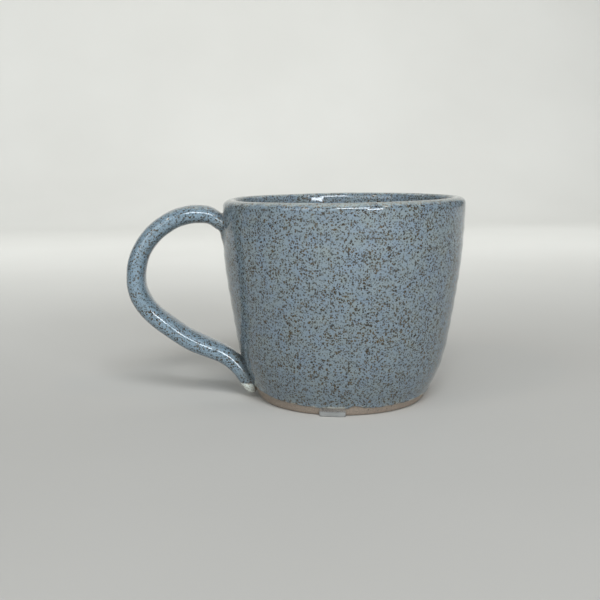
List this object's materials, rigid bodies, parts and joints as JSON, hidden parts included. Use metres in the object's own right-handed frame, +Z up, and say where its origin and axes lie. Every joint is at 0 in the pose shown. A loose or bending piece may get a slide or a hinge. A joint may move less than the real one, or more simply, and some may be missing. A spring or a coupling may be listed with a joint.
{
  "type": "mug",
  "caption": "Wheel-thrown stoneware mug with a rounded lip, a narrow flat foot and a looped strap handle, glazed inside and out over a bare clay foot.",
  "frame": {"origin": "middle of the flat foot, on the surface that the mug stands on", "axes": "+Z up out of the foot, -X out along the handle, +Y to the left of the handle as seen from the mug's middle"},
  "size_m": [0.1334, 0.0964, 0.0803],
  "materials": {
    "glazed_stoneware": "glossy speckled glaze",
    "label": "satin translucent film"
  },
  "bodies": {
    "root": {"mug": "glazed_stoneware", "label_tab": "label"}
  },
  "joints": []
}
